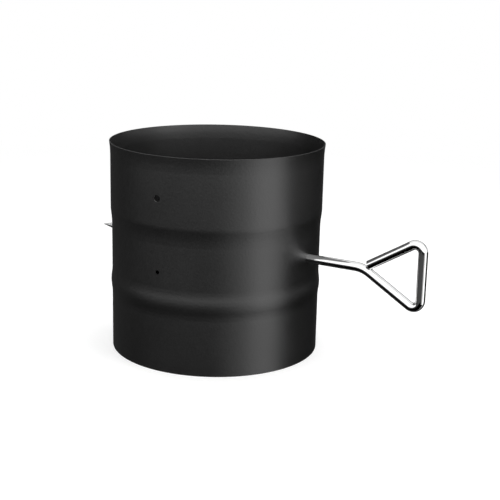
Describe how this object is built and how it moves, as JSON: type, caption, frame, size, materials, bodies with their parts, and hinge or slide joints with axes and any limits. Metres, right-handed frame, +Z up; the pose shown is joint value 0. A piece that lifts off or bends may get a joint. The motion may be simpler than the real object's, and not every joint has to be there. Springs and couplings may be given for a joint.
{
  "type": "stove pipe damper",
  "caption": "Short black flue pipe with a flared socket, a bead and a spigot, holding a round damper plate on a bright through rod bent into a triangular handle.",
  "frame": {"origin": "on the pipe's axis, in the plane of its lower rim", "axes": "+Z up the pipe towards the socket, +X along the rod towards the handle"},
  "size_m": [0.2642, 0.1534, 0.15],
  "materials": {
    "black_paint": "satin black heat-resistant paint",
    "bright_rod": "polished",
    "plate_steel": "dark mill finish sheet",
    "rivet_steel": "satin"
  },
  "bodies": {
    "pipe": {"pipe_body": "black_paint"},
    "valve": {"handle_rod": "bright_rod", "damper_plate": "plate_steel", "plate_rivets": "rivet_steel"}
  },
  "joints": [
    {"name": "damper_turn", "type": "hinge", "parent": "pipe", "child": "valve", "pos_m": [0, 0, 0.075], "axis": [1, 0, 0], "continuous": true}
  ]
}
